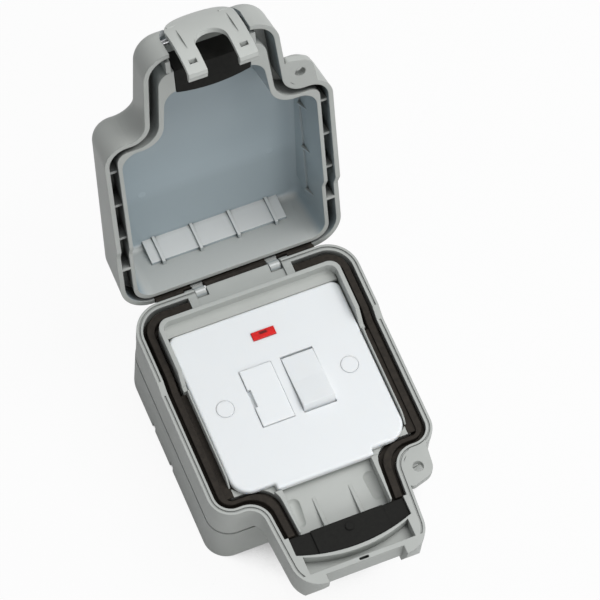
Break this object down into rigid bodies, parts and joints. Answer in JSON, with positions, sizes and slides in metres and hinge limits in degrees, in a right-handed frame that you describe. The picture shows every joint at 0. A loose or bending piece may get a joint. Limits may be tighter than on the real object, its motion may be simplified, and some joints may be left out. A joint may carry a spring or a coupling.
{
  "type": "weatherproof fused spur unit",
  "caption": "Grey weatherproof outdoor fused spur with an open hinged lid, latch, cable tongue, white plate, rocker switch, fuse carrier and neon.",
  "frame": {"origin": "on the wall face of the back box, under the middle of the white plate", "axes": "+Z out of the front away from the wall, +Y towards the hinge, +X to the right seen from the front"},
  "size_m": [0.1076, 0.2196, 0.197],
  "materials": {
    "frame_grey": "fine satin moulded",
    "box_grey": "fine satin moulded",
    "lid_grey": "satin outside, smooth inside",
    "latch_grey": "satin moulded",
    "gasket": "matte soft rubber",
    "seal_black": "matte rubber",
    "plate_white": "polished",
    "rocker_white": "polished",
    "carrier_white": "polished",
    "neon_red": "clear tinted",
    "lamp_glass": "clear",
    "module_plastic": "moulded",
    "plunger_plastic": "moulded",
    "pin_steel": "drawn",
    "screw_steel": "plated",
    "brass": "turned",
    "fuse_ceramic": "glazed",
    "fuse_metal": "plated"
  },
  "bodies": {
    "base": {"back_box": "box_grey", "box_seal": "gasket", "front_frame": "frame_grey", "rim_seal": "gasket", "cable_seal": "seal_black", "hinge_pin": "pin_steel", "accessory_plate": "plate_white", "neon_lens": "neon_red", "neon_lamp": "lamp_glass", "module_housing": "module_plastic", "terminals": "brass", "earth_terminal": "brass", "terminal_screws": "screw_steel", "fixed_contacts": "brass", "fuse_clips": "brass", "rocker_pin": "pin_steel", "plate_screws": "screw_steel", "screw_caps": "plate_white", "plate_inserts": "brass", "frame_screws": "screw_steel"},
    "lid": {"lid": "lid_grey", "lid_cable_seal": "seal_black", "latch_pin": "pin_steel"},
    "latch": {"latch": "latch_grey"},
    "fuse_carrier": {"fuse_carrier": "carrier_white", "fuse_body": "fuse_ceramic", "fuse_caps": "fuse_metal"},
    "rocker": {"rocker": "rocker_white", "switch_plungers": "plunger_plastic"},
    "contacts": {"moving_contacts": "brass"}
  },
  "joints": [
    {"name": "lid_hinge", "type": "hinge", "parent": "base", "child": "lid", "pos_m": [0, 0.0582, 0.0481], "axis": [1, 0, 0], "range_deg": [0, 108]},
    {"name": "latch_pivot", "type": "hinge", "parent": "lid", "child": "latch", "pos_m": [0, 0.11709, 0.18111], "axis": [1, 0, 0], "range_deg": [-16, 6.5]},
    {"name": "fuse_carrier_slide", "type": "slide", "parent": "base", "child": "fuse_carrier", "axis": [0, 0, 1], "range_m": [0, 0.022]},
    {"name": "rocker_pivot", "type": "hinge", "parent": "base", "child": "rocker", "pos_m": [0.01005, 0, 0.0465], "axis": [1, 0, 0], "range_deg": [0, 12]},
    {"name": "contact_pivot", "type": "hinge", "parent": "base", "child": "contacts", "pos_m": [0.01005, 0, 0.0315], "axis": [1, 0, 0], "range_deg": [-10, 0]}
  ],
  "couplings": [
    {"joint": "contact_pivot", "follows": "rocker_pivot", "ratio": -0.83333}
  ]
}
